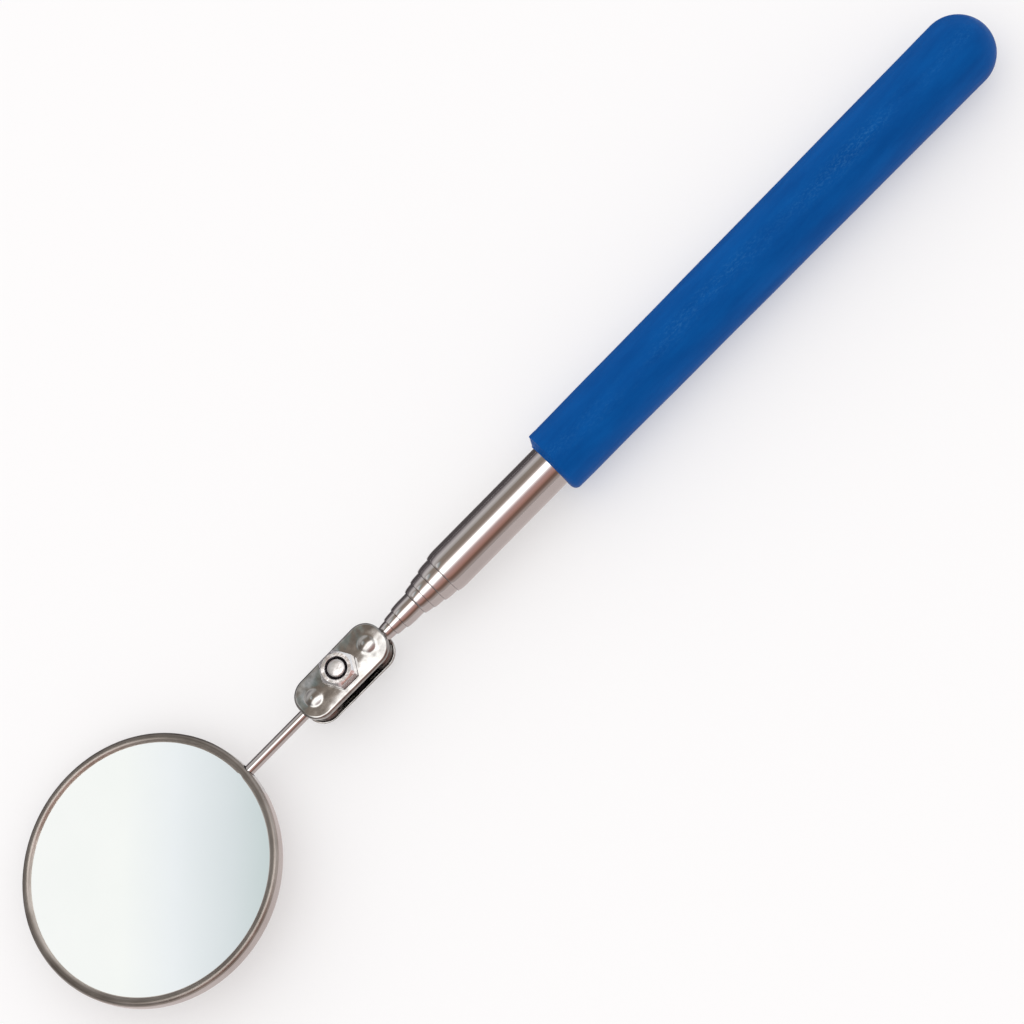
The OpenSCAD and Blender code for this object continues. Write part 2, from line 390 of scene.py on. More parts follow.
def spun_material(name, low, high, rough, painted_bands=None):
    """Spun sheet with fine turning lines around the mirror's axis. The last argument gives (radius,
    brightness) stops of a painted reflection: light and dark rings multiplied into the colour.
    """
    mat, nt, shader = new_material(name, 1.0)
    tc = nt.nodes.new("ShaderNodeTexCoord")
    place = nt.nodes.new("ShaderNodeMapping")
    place.inputs["Location"].default_value = (-MIRROR_X * MM, 0, 0)
    nt.links.new(tc.outputs["Object"], place.inputs["Vector"])
    radius = length_of(nt, place.outputs["Vector"])
    turning = nt.nodes.new("ShaderNodeTexNoise")
    turning.noise_dimensions = "1D"
    turning.inputs["Scale"].default_value = 9000
    turning.inputs["Detail"].default_value = 3
    nt.links.new(radius, turning.inputs["W"])
    vec = coords(nt)
    smudge = noise_tex(nt, vec, 120, 4, 0.6)
    colour = ramp(nt, smudge, [(0.3, low), (0.7, high)])
    # Painted reflection: brightness by radius from the mirror's centre, multiplied into the colour.
    if painted_bands:
        r0, r1 = painted_bands[0][0], painted_bands[-1][0]
        painted_tone = ramp(nt, between(nt, radius, r0 * MM, r1 * MM), [((r - r0) / (r1 - r0), v) for r, v in painted_bands])
        colour = mix(nt, 1.0, colour, painted_tone, "MULTIPLY")
    nt.links.new(colour, shader.inputs["Base Color"])
    nt.links.new(ramp(nt, smudge, [(0.3, rough), (0.7, rough * 1.3)]), shader.inputs["Roughness"])
    normal = bump(nt, noise_tex(nt, vec, 90, 2, 0.5), 0.10, 0.001)
    nt.links.new(bump(nt, turning.outputs["Fac"], 0.35, 0.00002, normal), shader.inputs["Normal"])
    return mat


def glass_material():
    """Silvered glass: near-perfect reflection with a faint green tint, a few specks and a wiped haze."""
    mat, nt, shader = new_material("mirror_glass", 1.0)
    vec = coords(nt)
    haze = noise_tex(nt, vec, 60, 3, 0.55)
    tint = ramp(nt, haze, [(0.3, (0.905, 0.925, 0.905)), (0.7, (0.925, 0.94, 0.92))])
    nt.links.new(tint, shader.inputs["Base Color"])
    specks = ramp(nt, noise_tex(nt, vec, 2500, 1, 0.3), [(0.79, 0.02), (0.84, 0.2)])
    nt.links.new(specks, shader.inputs["Roughness"])
    shader.inputs["Coat Weight"].default_value = 0.3
    shader.inputs["Coat Roughness"].default_value = 0.01
    return mat


def card_material():
    """Grey-brown card with short fibres."""
    mat, nt, shader = new_material("pad_card")
    fibre = noise_tex(nt, coords(nt), 900, 4, 0.7)
    colour = ramp(nt, fibre, [(0.3, (0.20, 0.18, 0.16)), (0.7, (0.30, 0.28, 0.25))])
    nt.links.new(colour, shader.inputs["Base Color"])
    shader.inputs["Roughness"].default_value = 0.9
    nt.links.new(bump(nt, fibre, 0.4, 0.0001), shader.inputs["Normal"])
    return mat


chrome = metal("tube_chrome", (0.525, 0.49, 0.482), 0.075, streak=(0.01, 1, 1), streak_strength=0.3,
               tint=0.06)
nickel = metal("plate_nickel", (0.44, 0.425, 0.408), 0.10, wave=0.18, wave_scale=220, tint=0.42,
               tint_scale=520, grain=0.12)
steel = metal("screw_steel", (0.92, 0.91, 0.93), 0.12, wave=0.08, wave_scale=400, grain=0.1)
nut_steel = metal("nut_steel", (0.90, 0.89, 0.90), 0.24, wave=0.22, wave_scale=420, tint=0.18,
                  tint_scale=500, grain=0.25)
cut_steel = metal("screw_end", (0.72, 0.70, 0.69), 0.40, wave=0.15, wave_scale=700, tint=0.25, grain=0.5)
# Painted shade: a near-black metal on the mouth rings, the nut's countersink, the plates' insides and rims,
# the shank between the plates and the case's inside.
painted_shade_metal = metal("painted_shade", (0.06, 0.052, 0.06), 0.45, wave=0.2, wave_scale=400, tint=0.3, grain=0.3)
ball_metal = metal("ball_steel", (0.58, 0.57, 0.56), 0.16, wave=0.05, wave_scale=300)
brass = metal("bush_brass", (0.60, 0.46, 0.22), 0.28, streak=(1, 1, 0.05))
vinyl = vinyl_material()
# Painted reflection on the lip, as (radius in mm, brightness) stops: light inner edge, dark middle line, a
# lighter ring and a dark outer edge.
LIP_PAINTED_REFLECTION = [(26.4, 1.0), (26.7, 0.90), (27.0, 0.56), (27.35, 0.33),
             (27.7, 0.28), (28.1, 0.48), (28.4, 0.57), (28.6, 0.33)]
case_metal = spun_material("case_chrome", (0.48, 0.44, 0.43), (0.56, 0.53, 0.52), 0.18)
lip_metal = spun_material("case_lip", (0.51, 0.45, 0.40), (0.78, 0.705, 0.645), 0.33, LIP_PAINTED_REFLECTION)
silvered = glass_material()
card = card_material()

# ---------------------------------------------------------------- grip: dipped vinyl, slightly uneven

FIT = 0.02         # clearance of a part fixed in another
BORE_R = TUBE_R[0] + FIT
SKIN_DEPTH = 0.05
LEAN_SIDE = math.radians(35)        # where the front edge leans back most
LEAN_BACK, LEAN_LENGTH = 1.15, 4.0  # how far it leans there, and how far back that is felt
SWELL, SWELL_LENGTH = 0.10, 2.5     # the thicker skin behind it
CORNER_FILL, CORNER_X = 0.75, 0.9   # how far the rounded corner is filled forward there, and where


def grip_wobble(a, r, x):
    """Unevenness of the dipped skin: the front edge leans back on one side and is sharper there."""
    if r < BORE_R + 0.4:
        return 0.0, 0.0
    behind = x - GRIP_X0
    side = 0.5 + 0.5 * math.cos(a - LEAN_SIDE)
    depth = min(1.0, (r - BORE_R) / 1.0)
    place = Vector((x * 0.045, math.cos(a) * 0.9, math.sin(a) * 0.9))
    skin = -SKIN_DEPTH * depth * (0.5 + noise.noise(place * 2.0))
    swell = SWELL * max(0.0, 1 - behind / SWELL_LENGTH) * side * depth
    back = max(0.0, (r - BORE_R) / (FRONT_R - BORE_R)) * max(0.0, 1 - behind / LEAN_LENGTH)
    corner = max(0.0, 1 - abs(behind - CORNER_X) / CORNER_X) * max(0.0, (r - BORE_R - 0.9) / GRIP_EDGE)
    return skin + swell, LEAN_BACK * side * back - CORNER_FILL * side ** 2 * corner


def grip_profile():
    """Half outline of the sleeve: front edge, tapering skin, domed butt and bore."""
    dome_x = GRIP_X1 - BUTT_R
    bore_end = REAR_X[0] + FIT
    return (
        [(BORE_R, GRIP_X0 + 0.02)]
        + line((BORE_R + 0.2, GRIP_X0), (FRONT_R - GRIP_EDGE, GRIP_X0), 4)
        + arc(FRONT_R - GRIP_EDGE, GRIP_X0 + GRIP_EDGE, GRIP_EDGE, GRIP_EDGE, -90, -8, 12)
        + line((FRONT_R, GRIP_X0 + GRIP_EDGE), (BUTT_R, dome_x), 90)
        + arc(0, dome_x, BUTT_R, BUTT_R, 0, 89, 30)
        + [(0, GRIP_X1), (0, bore_end), (BORE_R, bore_end)]
        + line((BORE_R, REAR_X[0]), (BORE_R, GRIP_X0 + 2), 8)
    )


grip = lathe("grip_sleeve", grip_profile(), count=192, wobble=grip_wobble, smooth_deg=50)
dress(grip, [vinyl], "handle", "grip")

# ---------------------------------------------------------------- telescope: drawn tubes with rolled mouths


def inner_r(i):
    """Radius of what stands in the mouth of tube i: the next tube, or the tip stem."""
    return TUBE_R[i + 1] if i + 1 < len(TUBES) else STEM_R


def nose_point(t, x0, ring, r):
    """A point of the mouth's taper, which rounds off from the ring into the tube."""
    a = math.pi / 2 * t
    power = 2 / NOSE_POWER
    return ring + (r - ring) * math.sin(a) ** power, x0 + NOSE * (1 - math.cos(a) ** power)


def tube_profile(i):
    """Half outline of a hollow tube with a rolled, crimped mouth."""
    r, x0, x1 = TUBE_R[i], MOUTH_X[i], REAR_X[i]
    bore = r - WALL
    hole = inner_r(i) + MOUTH_GAP - (0 if i + 1 < len(TUBES) else STEM_SQUEEZE)
    ring = hole + MOUTH_RING
    return (
        [(hole, x0 + 0.06), (hole + 0.05, x0)]
        + [nose_point(k / 20, x0, ring, r) for k in range(21)]
        + line((r, x0 + NOSE + 0.1), (r, x1 - 0.1), 24)
        + [(r, x1 - 0.05), (r - 0.05, x1), (bore, x1)]
        + line((bore, x1 - 1), (bore, x0 + MOUTH_LENGTH), 6)
        + [(bore, x0 + MOUTH_LENGTH), (hole, x0 + MOUTH_LENGTH)]
    )


def in_mouth(face, i):
    """True for a face that gets painted shade: at the very front of tube i, or on the wall of its mouth's
    hole.
    """
    behind = face.center.x / MM - MOUTH_X[i]
    outside = math.hypot(face.center.y, face.center.z) / MM > inner_r(i) + MOUTH_GAP + 0.05
    on_wall = behind < MOUTH_LENGTH and abs(face.normal.x) < 0.2 and not outside
    return behind < MOUTH_SHADE or on_wall


for i, (tube, body) in enumerate(zip(TUBES, TUBE_BODIES)):
    shell = lathe(f"{tube}_shell", tube_profile(i), count=160, smooth_deg=40)
    dress(shell, [chrome, painted_shade_metal], body, tube)
    for face in shell.data.polygons:
        face.material_index = 1 if in_mouth(face, i) else 0


def stem_profile():
    """Half outline of the tip stem: plug in the last tube, neck in its mouth, and pin in the ball."""
    pin_r, plug_r = 1.1, 1.53
    pin_x0, plug_x1 = span("tip_stem")
    mouth = MOUTH_X[-1]
    plug_x0 = mouth + MOUTH_LENGTH + 0.02
    return [
        (0, pin_x0), (pin_r - 0.1, pin_x0), (pin_r, pin_x0 + 0.1), (pin_r, mouth - 0.2),
        (STEM_R - 0.03, mouth - 0.2), (STEM_R, mouth - 0.15), (STEM_R, plug_x0), (plug_r, plug_x0),
        (plug_r, plug_x1 - 0.2), (plug_r - 0.2, plug_x1), (0, plug_x1),
    ]


dress(lathe("tip_stem_turned", stem_profile(), count=64), [ball_metal], "section_7", "tip_stem")

# ---------------------------------------------------------------- swivel: balls, plates, nut and screw


def ball(name, x, bore, direction, node_name):
    """Pivot ball with a blind bore, its mouth eased. direction is the side that the bore opens to."""
    bore_end, ease_r, ease_depth = -1.2, 0.15, 0.12
    mouth_a = math.asin((bore + ease_r) / BALL_R)
    outer = arc(0, 0, BALL_R, BALL_R, -90, 90 - math.degrees(mouth_a), 48)[1:]
    mouth_u = BALL_R * math.cos(mouth_a)
    profile = [(0, -BALL_R)] + outer + [(bore, mouth_u - ease_depth), (bore, bore_end), (0, bore_end)]
    turned = lathe(name, [(r, x + direction * u) for r, u in profile], count=96)
    dress(turned, [ball_metal], node_name, node_name)


ball("tip_ball_turned", TIP_X, 1.13, 1, "tip_ball")
ball("mirror_ball_turned", MIRROR_BALL_X, 1.23, -1, "mirror_ball")

SEAT_R = BALL_R + 0.05     # of the hollow over a ball
DOME_R = BALL_R + SHEET    # of the dome outside it
FILLET = 0.10              # of the dome's foot
EDGE_R = 0.6               # of the plate's rounded edge
INNER_EDGE = 0.95          # inset of the flat inner face
CROWN = 0.36               # how far the plate's long edges fall below its middle
TWIST = -0.007
WARP = 0.03
SCREW_HOLE_R = 2.15
STEP = 0.3
RIM = [(0.8, 0.12), (0.74, 0.03), (0.66, 0), (0.2, 0), (0.08, 0.03), (0.02, 0.1), (0, 0.2)]  # inset, height


def outline():
    """Points, about STEP apart, around a plate's rounded rectangle, each with its inward normal."""
    l, w, r = PLATE_HALF_L - PLATE_CORNER_R, PLATE_HALF_W - PLATE_CORNER_R, PLATE_CORNER_R
    raw = []
    for cx, cy, a0 in ((l, w, 0), (-l, w, 90), (-l, -w, 180), (l, -w, 270)):
        for k in range(24):
            a = math.radians(a0 + 90 * k / 23)
            raw.append((cx + r * math.cos(a), cy + r * math.sin(a), -math.cos(a), -math.sin(a)))
    points = []
    for p, q in zip(raw, raw[1:] + raw[:1]):
        n = max(1, round(math.hypot(q[0] - p[0], q[1] - p[1]) / STEP))
        for j in range(n):
            points.append(tuple(a + (b - a) * j / n for a, b in zip(p, q)))
    return points


def soft_step(h):
    """h where it is above zero, 0 where it is below, with a fillet between."""
    return 0.5 * (h + math.sqrt(h * h + FILLET * FILLET))


def domes(x, y, radius, level):
    """How far a sphere about either ball centre stands over a level, at a place measured from the middle."""
    best = 0.0
    for ball_x in (TIP_X - MID_X, MIRROR_BALL_X - MID_X):
        d2 = (x - ball_x) ** 2 + y * y
        h = math.sqrt(max(radius * radius - d2, 0.0)) - level
        best = max(best, soft_step(h) - soft_step(-level))
    return best


def inset(points, d):
    """(x, y) of the outline's points, moved in by d."""
    return [(p[0] + p[2] * d, p[1] + p[3] * d) for p in points]


def fill(edge, steps, height):
    """Rings from an edge in to the plate's spine, at the height that height(x, y) gives."""
    spine = PLATE_HALF_L - PLATE_HALF_W
    rings = []
    for k in range(1, steps + 1):
        t = k / steps
        ring = []
        for x, y in edge:
            sx = max(-spine, min(spine, x))
            px, py = x + (sx - x) * t, y + (0.0 - y) * t
            ring.append((px, py, height(px, py)))
        rings.append(ring)
    return rings


def plate(name, side, seed, node_name):
    """Pressed plate with a turned rim and a dome over each ball. side is 1 in front and -1 behind."""
    points = outline()
    floor = PLATE_Z - SHEET

    def top(x, y):
        warp = WARP * noise.noise(Vector((x * 0.25 + seed, y * 0.3, 0)))
        crown = CROWN * (y / PLATE_HALF_W) ** 2 + side * TWIST * x * y
        return PLATE_Z + warp - crown + domes(x, y, DOME_R, PLATE_Z)

    def under(x, y):
        return floor + domes(x, y, SEAT_R, floor)

    outer = [[(x, y, RIM_Z + z) for x, y in inset(points, d)] for d, z in RIM]
    for k in range(9):
        a = math.radians(90 * k / 8)
        edge = inset(points, EDGE_R * (1 - math.cos(a)))
        outer.append([(x, y, top(x, y) - EDGE_R * (1 - math.sin(a))) for x, y in edge])
    outer += fill(inset(points, EDGE_R), 30, top)
    lip, lip_rise = RIM[0]
    wall = [(lip, RIM_Z + lip_rise), (lip, floor - 0.15), (lip + 0.05, floor - 0.04), (INNER_EDGE, floor)]
    inner = [[(x, y, z) for x, y in inset(points, d)] for d, z in wall]
    inner += fill(inset(points, INNER_EDGE), 20, under)

    bm = bmesh.new()
    # The inner face and the first rings of the rim get painted shade.
    for is_inner, group in ((False, outer), (True, inner)):
        made = [[bm.verts.new((x + MID_X, y, side * z)) for x, y, z in ring] for ring in group]
        for m, (a, b) in enumerate(zip(made, made[1:])):
            join_rings(bm, a, b, 1 if is_inner or m < 4 else 0)
    bmesh.ops.remove_doubles(bm, verts=bm.verts, dist=1e-4)
    bmesh.ops.dissolve_degenerate(bm, edges=bm.edges, dist=1e-4)
    obj = finish_mesh(name, bm, 40)
    drill(obj, SCREW_HOLE_R, side * 1.0, side * 5.0, Matrix.Translation((MID_X, 0, 0)))
    dress(obj, [nickel, painted_shade_metal], "swivel", node_name)


plate("front_plate_pressed", 1, 3.1, "front_plate")
plate("back_plate_pressed", -1, 8.7, "back_plate")

NUT_BORE_R = 2.03
SINK_R = 2.44      # countersink at both ends of the nut's thread
SINK_BELOW = 0.3
SINK_ABOVE = 0.8
NUT_FACE_R = 3.16  # where the chamfer of the nut's corners begins
CHAMFER = math.tan(math.radians(30))


def hex_r(a):
    """Radius of a hexagon of the nut's size at angle a, with corners along X."""
    return NUT_FLATS / 2 / math.cos((a % (math.pi / 3)) - math.pi / 6)


def nut():
    """Hexagon nut: corners chamfered top and bottom, thread mouth countersunk."""
    z0, z1 = PLATE_Z, NUT_TOP

    def drop(r):
        """How far the chamfer falls below the nut's face at radius r."""
        return CHAMFER * max(0, r - NUT_FACE_R)

    ring_rules = [
        lambda a: (NUT_BORE_R, z0 + SINK_BELOW),
        lambda a: (SINK_R, z0),
        lambda a: (NUT_FACE_R, z0),
        lambda a: (hex_r(a), z0 + drop(hex_r(a))),
        lambda a: (hex_r(a), z0 + 0.6),
        lambda a: (hex_r(a), z1 - 0.6),
        lambda a: (hex_r(a), z1 - drop(hex_r(a)) - 0.03),
        lambda a: (hex_r(a) - 0.05, z1 - drop(hex_r(a) - 0.05)),
        lambda a: (NUT_FACE_R, z1),
        lambda a: (NUT_FACE_R - 0.06, z1),
        lambda a: (SINK_R + 0.05, z1),
        lambda a: (SINK_R, z1 - 0.03),
        lambda a: (NUT_BORE_R, z1 - SINK_ABOVE),
    ]
    bm = bmesh.new()
    angles = [2 * math.pi * k / 240 for k in range(240)]
    rings = []
    for rule in ring_rules:
        spots = [(a, *rule(a)) for a in angles]
        rings.append([bm.verts.new((MID_X + r * math.cos(a), r * math.sin(a), z)) for a, r, z in spots])
    first_dark = len(rings) - 3  # from the countersink on, the thread's mouth gets painted shade
    for m, (a, b) in enumerate(zip(rings, rings[1:] + rings[:1])):
        join_rings(bm, a, b, 1 if m >= first_dark else 0)
    obj = finish_mesh("clamp_nut_hex", bm, 22)
    dress(obj, [nut_steel, painted_shade_metal], "swivel", "clamp_nut")


nut()

HEAD_R = 3.8
HEAD_EDGE = 1.0
HEAD_CROWN = 0.04
SHANK_R = 2.0
SHANK_TOP = SCREW_TOP - 0.35
SLOT_WIDTH, SLOT_DEPTH = 1.1, 1.2
THREAD_PITCH, THREAD_DEPTH = 0.7, 0.22
SCREW_END = [(1.93, -0.22), (1.84, -0.06), (1.76, 0.05), (1.62, 0.14), (1.40, 0.21), (1.0, 0.28), (0.5, 0.33)]


def thread(a, r, z):
    """V thread on the shank, between the head and the domed end."""
    if abs(r - SHANK_R) > 0.1 or z < -PLATE_Z + 0.2 or z > SCREW_TOP - 0.75:
        return 0.0, 0.0
    phase = (z / THREAD_PITCH - a / (2 * math.pi)) % 1.0
    return -THREAD_DEPTH * min(1.0, max(0.0, abs(phase - 0.5) * 2 * 1.3 - 0.15)), 0.0


def screw():
    """Slotted pan head behind, threaded shank, and domed end standing out of the nut."""
    head_z = SCREW_BOTTOM + HEAD_CROWN
    profile = (
        [(0, SCREW_BOTTOM)]
        + line((0.6, SCREW_BOTTOM), (HEAD_R - HEAD_EDGE, head_z), 4)
        + arc(HEAD_R - HEAD_EDGE, HEAD_EDGE + head_z, HEAD_EDGE, HEAD_EDGE, -88, 0, 10)
        + [(HEAD_R, -PLATE_Z - 0.1), (HEAD_R - 0.1, -PLATE_Z), (SHANK_R, -PLATE_Z)]
        + line((SHANK_R, -PLATE_Z + 0.05), (SHANK_R, SHANK_TOP - 0.3), 130)
        + [(r, SHANK_TOP + rise) for r, rise in SCREW_END]
        + [(0, SCREW_TOP)]
    )
    obj = lathe("clamp_screw_turned", profile, "Z", 72, thread, 30, Matrix.Translation((MID_X, 0, 0)))
    slot = bmesh.new()
    slot_z = SCREW_BOTTOM + SLOT_DEPTH / 2 - 0.5
    box_into(slot, (MID_X, 0, slot_z), (2 * HEAD_R + 2, SLOT_WIDTH, SLOT_DEPTH + 1))
    subtract(obj, finish_mesh("slot_cutter", slot), 30)
    dress(obj, [steel, cut_steel, painted_shade_metal], "swivel", "clamp_screw")
    for face in obj.data.polygons:
        z = face.center.z / MM
        if z > SHANK_TOP - 0.05:
            face.material_index = 1
        # The shank between the plates gets painted shade.
        elif z > -PLATE_Z + 0.1:
            face.material_index = 2


screw()

# ---------------------------------------------------------------- mirror head

ROD_HOLE_R = 1.6
ROD_END = CASE_R - CASE_WALL - 0.25  # where the round rod stops inside the case
ROD_IN_BALL = 0.8
TONGUE = (14, 3.2, 0.9)              # flattened end of the rod
BALL_REACH = MIRROR_BALL_X - MIRROR_X


def case():
    """Spun cup with its rim rolled over the glass, drilled for the rod."""
    bottom, top = -CASE_HALF_H, CASE_HALF_H
    bore, floor = CASE_R - CASE_WALL, CASE_WALL - CASE_HALF_H
    profile = (
        [(0, bottom)]
        + line((2, bottom), (CASE_R - LIP_R, bottom), 24)
        + arc(CASE_R - LIP_R, bottom + LIP_R, LIP_R, LIP_R, -90, 0, 10)
        + arc(CASE_R - LIP_R, top - LIP_R, LIP_R, LIP_R, 0, 165, 22)
        + [(CASE_R - LIP_WIDTH, GLASS_Z), (CASE_R - LIP_WIDTH + 0.3, GLASS_Z + 0.01), (bore, GLASS_Z + 0.02)]
        + [(bore, floor)]
        + line((bore - 0.4, floor), (2, floor), 12)
        + [(0, floor)]
    )
    obj = lathe("mirror_case_spun", profile, "Z", 256, smooth_deg=40, place=ON_MIRROR)
    drill(obj, ROD_HOLE_R, CASE_R - 2, CASE_R + 2, ON_MIRROR @ Matrix.Rotation(math.pi / 2, 4, "Y"))
    dress(obj, [case_metal, lip_metal, painted_shade_metal], "mirror_head", "mirror_case")
    to_mirror = ON_MIRROR.inverted()
    for face in obj.data.polygons:
        local = to_mirror @ (face.center / MM)
        if local.z > top - LIP_R * 0.75:
            face.material_index = 1
        # Inside the case, under the glass, gets painted shade.
        elif floor - 0.01 < local.z < GLASS_Z and math.hypot(local.x, local.y) < CASE_R - 0.04:
            face.material_index = 2


def glass():
    """Silvered disc with a ground bevel."""
    under, face_z = GLASS_Z - GLASS_H, GLASS_Z - 0.02
    profile = (
        [(0, under)]
        + line((2, under), (GLASS_R - 0.1, under), 10)
        + [(GLASS_R - 0.1, under), (GLASS_R, under + 0.1), (GLASS_R, GLASS_Z - 0.35), (GLASS_R - 0.3, face_z)]
        + line((GLASS_R - 0.5, face_z), (2, face_z), 20)
        + [(0, face_z)]
    )
    obj = lathe("mirror_glass_disc", profile, "Z", 256, smooth_deg=25, place=ON_MIRROR)
    dress(obj, [silvered], "mirror_head", "mirror_glass")


def rod():
    """Drawn rod, rounded in the ball and flattened to a tongue inside the case."""
    end = BALL_REACH + ROD_IN_BALL
    profile = (
        [(0, ROD_END), (ROD_R - 0.1, ROD_END), (ROD_R, ROD_END + 0.1)]
        + line((ROD_R, ROD_END + 0.5), (ROD_R, end - 0.2), 20)
        + [(ROD_R - 0.05, end - 0.1), (ROD_R - 0.2, end), (0, end)]
    )
    bm = bmesh.new()
    lathe_into(bm, profile, "X", 72)
    tongue_z = CASE_WALL - CASE_HALF_H + FIT + TONGUE[2] / 2
    box_into(bm, (ROD_END - TONGUE[0] / 2, 0, tongue_z), TONGUE)
    obj = finish_mesh("mirror_rod_drawn", bm, 32, place=ON_MIRROR)
    dress(obj, [chrome], "mirror_head", "mirror_rod")


case()
glass()
rod()

# ---------------------------------------------------------------- hidden parts keep their CAD solids


def repaint(node_name, mat):
    """Gives a CAD node a finished material."""
    nodes[node_name].data.materials.clear()
    nodes[node_name].data.materials.append(mat)


for i in range(2, 8):
    repaint(f"bush_{i}", brass)
repaint("rear_plug", brass)
repaint("backing_pad", card)

# ---------------------------------------------------------------- floor: a pale light table

FLOOR_HALF = 12000.0
GLOW = 0.37  # keeps the shadows faint


def floor_piece():
    """The floor, touching the tool from below."""
    bm = bmesh.new()
    bmesh.ops.create_grid(bm, x_segments=2, y_segments=2, size=FLOOR_HALF)
    bm.transform(Matrix.Translation((0, 0, FLOOR_Z)))
    obj = finish_mesh("floor", bm)
    mat, _, shader = new_material("floor_white")
    shader.inputs["Base Color"].default_value = (0.60, 0.59, 0.59, 1)
    shader.inputs["Emission Color"].default_value = (1, 0.985, 0.985, 1)
    shader.inputs["Emission Strength"].default_value = GLOW
    shader.inputs["Roughness"].default_value = 0.8
    shader.inputs["Specular IOR Level"].default_value = 0.0
    obj.data.materials.append(mat)


floor_piece()

# ---------------------------------------------------------------- studio: strip softbox in a warm room

BRIGHTEST = 3.2
SKY = [  # degrees from straight up, positive towards -Y; light of the room there
    (-90, (0.16, 0.14, 0.15)),
    (-82, (0.20, 0.18, 0.19)),
    (-72, (0.55, 0.53, 0.54)),
    (-61, (0.90, 0.88, 0.88)),
    (-50, (0.74, 0.74, 0.73)),
    (-41, (0.42, 0.37, 0.32)),
    (-24, (0.42, 0.35, 0.30)),
    (-17, (0.56, 0.49, 0.43)),
    (-11, (0.95, 0.86, 0.80)),
    (-4, (3.2, 3.2, 3.2)),
    (14, (3.2, 3.2, 3.2)),
    (20, (1.8, 1.74, 1.76)),
    (27, (0.92, 0.76, 0.75)),
    (35, (0.74, 0.48, 0.45)),
    (44, (0.70, 0.41, 0.36)),
    (52, (0.54, 0.30, 0.24)),
    (61, (0.27, 0.16, 0.12)),
    (70, (0.30, 0.21, 0.18)),
    (79, (0.56, 0.48, 0.45)),
    (90, (0.60, 0.56, 0.54)),
]
END_DARK, END_PALE = (0.30, 0.285, 0.28), (0.86, 0.87, 0.88)  # beyond the softbox, at -X and at +X
TENT = 1.12


def dimmed(colour):
    """A colour as a share of the brightest light, which the world's strength gives back."""
    return tuple(c / BRIGHTEST for c in colour)


def studio():
    """Reflections see the softbox and the room; everything else is lit by a plain white tent."""
    world = bpy.data.worlds.new("studio")
    bpy.context.scene.world = world
    world.use_nodes = True
    nt = world.node_tree
    direction = split_xyz(nt, nt.nodes.new("ShaderNodeTexCoord").outputs["Generated"])
    toward_minus_y = math_node(nt, "MULTIPLY", direction["Y"], -1.0)
    angle = math_node(nt, "ARCTAN2", toward_minus_y, direction["Z"])
    turn = math_node(nt, "ADD", math_node(nt, "DIVIDE", angle, math.pi), 0.5)
    softbox = ramp(nt, turn, [((deg + 90) / 180, dimmed(col)) for deg, col in SKY])
    beyond = ramp(nt, math_node(nt, "ABSOLUTE", direction["X"]), [(0.50, 0), (0.72, 1)])
    half_x = math_node(nt, "ADD", math_node(nt, "MULTIPLY", direction["X"], 0.5), 0.5)
    ends = ramp(nt, half_x, [(0.35, dimmed(END_DARK)), (0.65, dimmed(END_PALE))])
    room = nt.nodes["Background"]
    nt.links.new(mix(nt, beyond, softbox, ends), room.inputs["Color"])
    room.inputs["Strength"].default_value = BRIGHTEST

    tent = nt.nodes.new("ShaderNodeBackground")
    half_z = math_node(nt, "MULTIPLY", direction["Z"], 0.5)
    overhead = math_node(nt, "ADD", half_z, math_node(nt, "MULTIPLY", direction["Y"], 0.5))
    white = ramp(nt, math_node(nt, "ADD", overhead, 0.5), [(0.1, 0.66), (1.0, 1.0)])
    nt.links.new(white, tent.inputs["Color"])
    tent.inputs["Strength"].default_value = TENT
    either = nt.nodes.new("ShaderNodeMixShader")
    nt.links.new(nt.nodes.new("ShaderNodeLightPath").outputs["Is Glossy Ray"], either.inputs["Fac"])
    nt.links.new(tent.outputs[0], either.inputs[1])
    nt.links.new(room.outputs[0], either.inputs[2])
    nt.links.new(either.outputs[0], nt.nodes["World Output"].inputs["Surface"])


studio()

# ---------------------------------------------------------------- camera

LEAN = math.radians(19)
TURN = math.radians(45.35)
DISTANCE = 674.8
ALONG = Vector((1, 0, 0))
ACROSS = Vector((0, math.cos(LEAN), math.sin(LEAN)))
toward = Vector((0, -math.sin(LEAN), math.cos(LEAN)))
right = math.cos(TURN) * ALONG - math.sin(TURN) * ACROSS
up = math.sin(TURN) * ALONG + math.cos(TURN) * ACROSS
eye = ALONG * 3.415 - ACROSS * 1.08 + toward * DISTANCE


def add_camera():
    """The camera at the photograph's viewing angle."""
    data = bpy.data.cameras.new("camera")
    data.sensor_width = 36
    data.lens = 116.02
    data.clip_start = 0.01
    data.clip_end = 20
    camera = bpy.data.objects.new("camera", data)
    camera.matrix_world = Matrix.Translation(eye * MM) @ Matrix((right, up, toward)).transposed().to_4x4()
    bpy.context.scene.collection.objects.link(camera)
    bpy.context.scene.camera = camera
    bpy.context.scene.view_settings.view_transform = "Standard"


add_camera()

# ---------------------------------------------------------------- cards that only reflections see


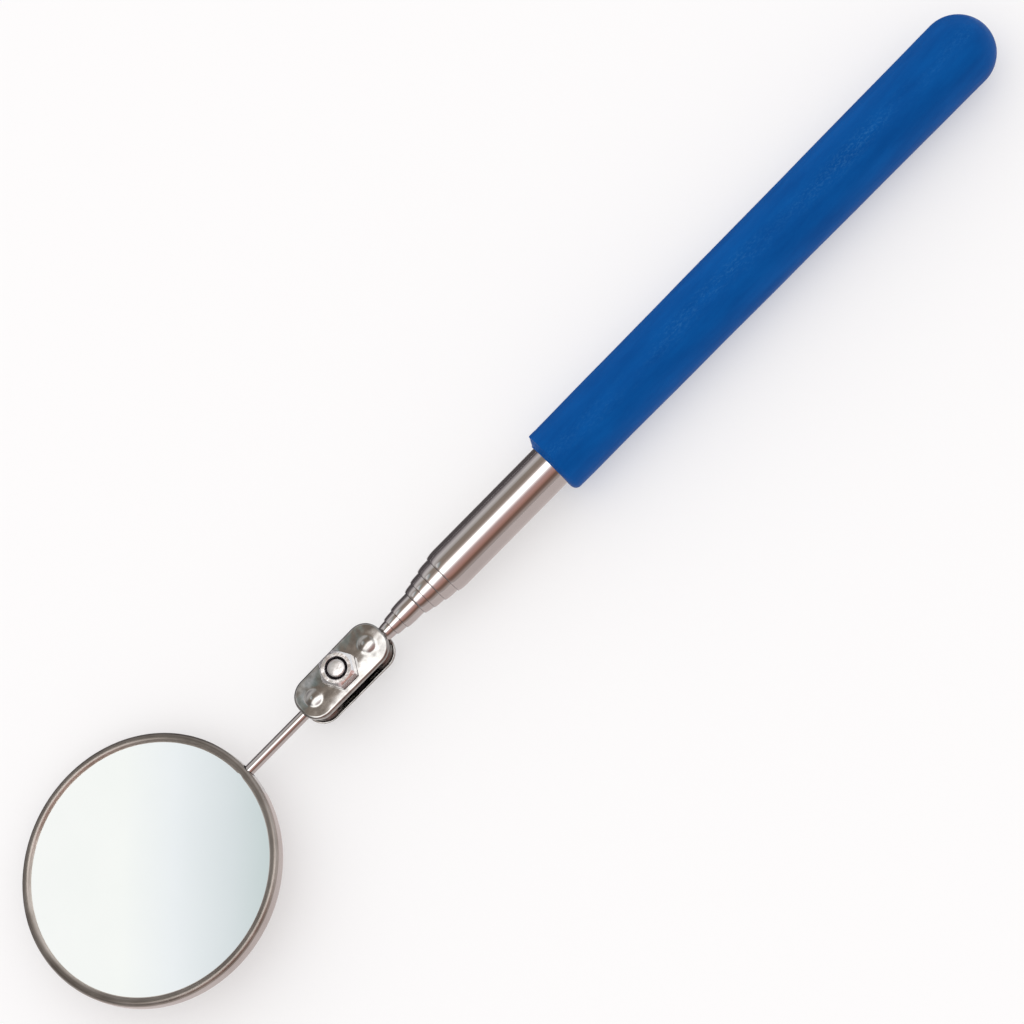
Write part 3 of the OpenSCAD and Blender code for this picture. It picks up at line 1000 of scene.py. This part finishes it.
def glowing(name, colour, stops=None, half_w=1.0, fade=None):
    """A glowing card. stops grade it across half_w; fade is the radii between which it melts away."""
    mat = bpy.data.materials.new(name)
    mat.use_nodes = True
    nt = mat.node_tree
    nt.nodes.remove(nt.nodes["Principled BSDF"])
    surface = nt.nodes["Material Output"].inputs[0]
    place = nt.nodes.new("ShaderNodeTexCoord").outputs["Object"]
    glow = nt.nodes.new("ShaderNodeEmission")
    glow.inputs["Color"].default_value = (*colour, 1)
    nt.links.new(glow.outputs[0], surface)
    if stops:
        across = between(nt, split_xyz(nt, place)["X"], -half_w * MM, half_w * MM)
        nt.links.new(ramp(nt, across, stops), glow.inputs["Color"])
    if fade:
        gone = between(nt, length_of(nt, place), fade[0] * MM, fade[1] * MM)
        melt = nt.nodes.new("ShaderNodeMixShader")
        nt.links.new(ramp(nt, gone, [(0.0, 0), (0.5, 0.5), (1.0, 1)]), melt.inputs["Fac"])
        nt.links.new(glow.outputs[0], melt.inputs[1])
        nt.links.new(nt.nodes.new("ShaderNodeBsdfTransparent").outputs[0], melt.inputs[2])
        nt.links.new(melt.outputs[0], surface)
    return mat


def card_piece(name, centre, side_axis, up_axis, half_w, half_h, mat):
    """A flat card, sized in millimetres."""
    bm = bmesh.new()
    corners = [(-1, -1), (1, -1), (1, 1), (-1, 1)]
    bm.faces.new([bm.verts.new((sx * half_w, sy * half_h, 0)) for sx, sy in corners])
    obj = finish_mesh(name, bm)
    axes = Matrix((side_axis, up_axis, side_axis.cross(up_axis))).transposed().to_4x4()
    obj.matrix_world = Matrix.Translation(centre * MM) @ axes
    obj.data.materials.append(mat)
    for ray in ("camera", "diffuse", "shadow", "transmission", "volume_scatter"):
        setattr(obj, "visible_" + ray, False)


CARD_DISTANCE = 450.0
CARD_HALF = 54.0
CARD_FADE = (62.0, 110.0)
CARD_STOPS = [
    (0.0, srgb(255, 255, 255)), (0.42, srgb(254, 255, 254)), (0.58, srgb(244, 247, 251)),
    (0.76, srgb(224, 230, 234)), (0.93, srgb(196, 209, 210)), (1.0, srgb(186, 201, 199)),
]


def graded_card():
    """What the mirror shows: white at the left of the view, pale grey-green at the right."""
    normal = (ON_MIRROR.to_3x3() @ Vector((0, 0, 1))).normalized()
    centre = ON_MIRROR @ Vector((0, 0, GLASS_Z))
    ray = (centre - eye).normalized()
    card_dir = ray - 2 * ray.dot(normal) * normal
    card_up = card_dir.cross((right - 2 * right.dot(normal) * normal).normalized()).normalized()
    card_right = card_up.cross(card_dir).normalized()
    glow = glowing("graded_card", (1, 1, 1), CARD_STOPS, CARD_HALF, CARD_FADE)
    size = CARD_FADE[1]
    card_piece("graded_card", centre + card_dir * CARD_DISTANCE, card_right, card_up, size, size, glow)


FLAG_FAR = 900.0
FLAG_HALF_X = 190.0
FLAG_LIFT = 0.8


def flag(name, side, near, colour):
    """A low sheet beside the tool, from near to FLAG_FAR, on the +Y or the -Y side."""
    centre = Vector((0, side * (near + FLAG_FAR) / 2, FLOOR_Z + FLAG_LIFT))
    card_piece(name, centre, Vector((1, 0, 0)), Vector((0, 1, 0)), FLAG_HALF_X, (FLAG_FAR - near) / 2,
               glowing(name, colour))


graded_card()
flag("dark_flag", 1, 13.0, (0.13, 0.12, 0.125))    # draws the dark edge along the chrome
flag("warm_flag", -1, 4.2, (0.83, 0.755, 0.735))   # takes the glare off the chrome's lower edge
